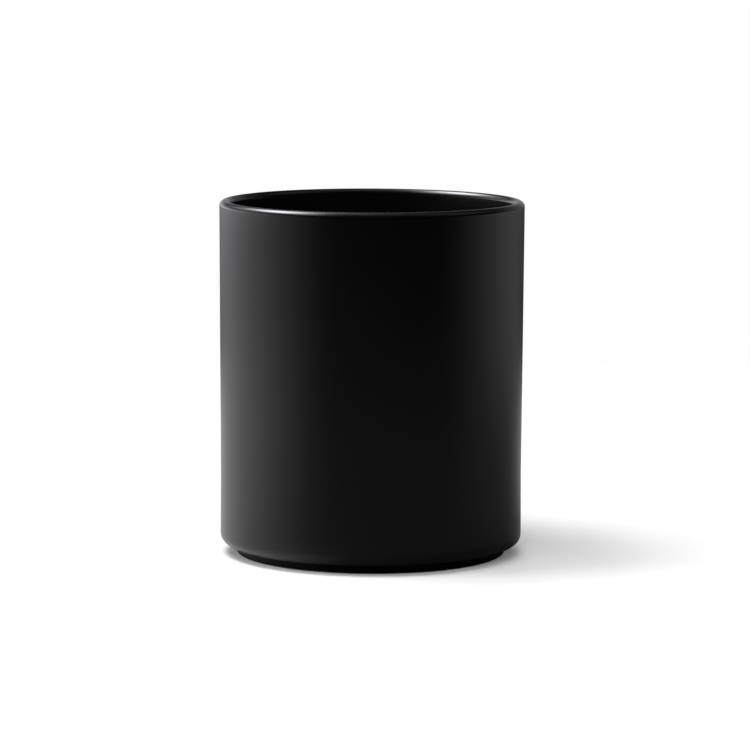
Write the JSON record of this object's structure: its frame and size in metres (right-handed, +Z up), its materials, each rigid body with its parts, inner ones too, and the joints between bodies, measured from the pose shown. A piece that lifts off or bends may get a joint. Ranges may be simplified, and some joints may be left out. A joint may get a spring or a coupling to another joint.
{
  "type": "empty candle jar",
  "caption": "Open, straight-sided round stoneware jar with a rounded rim, a rounded bottom shoulder and a set-back foot ring, under matte black glaze.",
  "frame": {"origin": "centre of the face that the jar rests on, at floor height", "axes": "+Z up along the jar's axis, through the open mouth; the jar is round about Z, so X and Y are equal choices"},
  "size_m": [0.082, 0.082, 0.0955],
  "materials": {
    "stoneware": "bare fired clay, matte, fine grained",
    "matte_glaze": "matte black glaze with a soft satin sheen, smoother on the rim",
    "liner_glaze": "satin black glaze"
  },
  "bodies": {
    "root": {"jar_body": "stoneware", "foot_ring": "stoneware", "outer_glaze": "matte_glaze", "liner_glaze": "liner_glaze", "base_glaze": "matte_glaze"}
  },
  "joints": []
}
